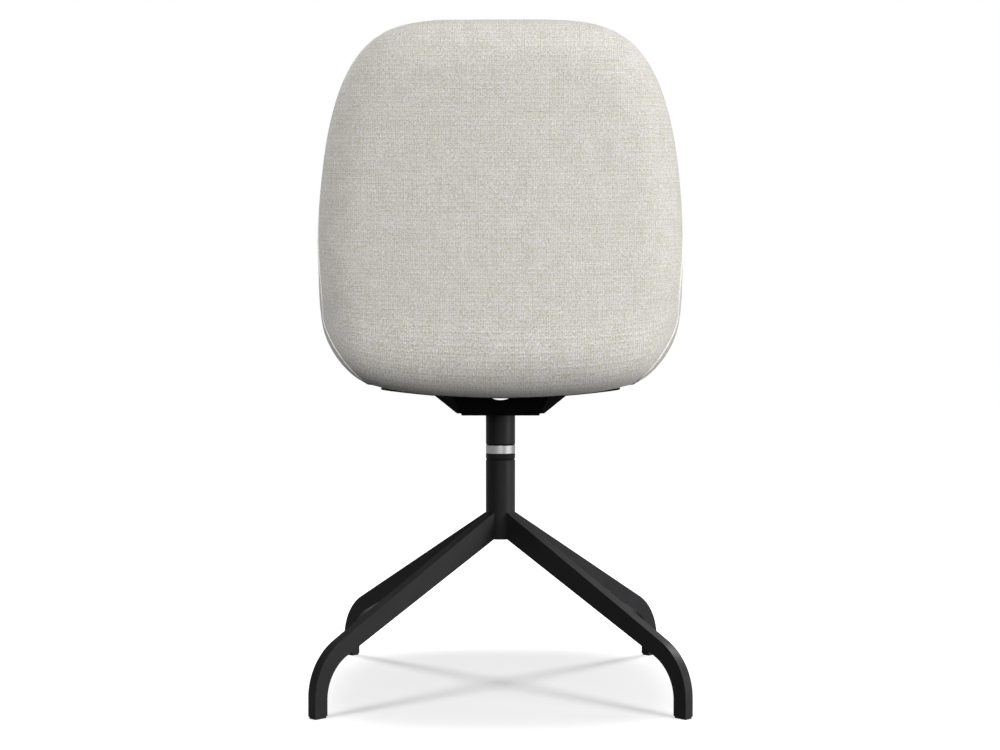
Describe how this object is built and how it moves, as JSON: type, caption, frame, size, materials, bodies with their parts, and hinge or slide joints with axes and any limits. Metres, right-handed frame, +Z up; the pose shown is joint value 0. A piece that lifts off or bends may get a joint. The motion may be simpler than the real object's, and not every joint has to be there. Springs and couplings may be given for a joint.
{
  "type": "swivel dining chair",
  "caption": "Upholstered bucket chair whose seat turns on a short column with slim splayed legs.",
  "frame": {"origin": "on the floor, on the swivel axis, under the middle of the chair", "axes": "+Z up along the swivel axis; the sitter faces -Y, and +X is the sitter's left"},
  "size_m": [0.471, 0.5674, 0.8473],
  "materials": {
    "powder_coat": "fine matt black powder coat",
    "black_coat": "matt black powder coat on pressed sheet",
    "black_plastic": "moulded black plastic",
    "pale_plastic": "natural moulded plastic",
    "glide_plastic": "moulded black plastic",
    "satin_steel": "turned satin steel",
    "bright_steel": "drawn steel",
    "spring_steel": "oiled spring steel",
    "screw_steel": "blackened steel",
    "moulded_core": "moulded plywood",
    "woven_fabric": "flecked plain-weave upholstery cloth over foam"
  },
  "bodies": {
    "base": {"lower_tube": "powder_coat", "tube_end_cap": "black_plastic", "upper_bush": "black_plastic", "lower_bush": "black_plastic", "leg_rear_left": "powder_coat", "leg_rear_right": "powder_coat", "leg_front_right": "powder_coat", "leg_front_left": "powder_coat", "glide_rear_left": "glide_plastic", "glide_rear_right": "glide_plastic", "glide_front_right": "glide_plastic", "glide_front_left": "glide_plastic", "thrust_washer": "pale_plastic"},
    "seat": {"spindle": "bright_steel", "retaining_washer": "bright_steel", "circlip": "spring_steel", "swivel_ring": "satin_steel", "spacer_washer": "black_plastic", "upper_sleeve": "powder_coat", "seat_bracket": "black_coat", "seat_plate": "black_coat", "plate_screws": "screw_steel", "tee_nuts": "bright_steel", "shell_core": "moulded_core", "rear_pad": "woven_fabric", "front_pad": "woven_fabric"}
  },
  "joints": [
    {"name": "swivel", "type": "hinge", "parent": "base", "child": "seat", "pos_m": [0, 0, 0.3], "axis": [0, 0, 1], "continuous": true}
  ]
}
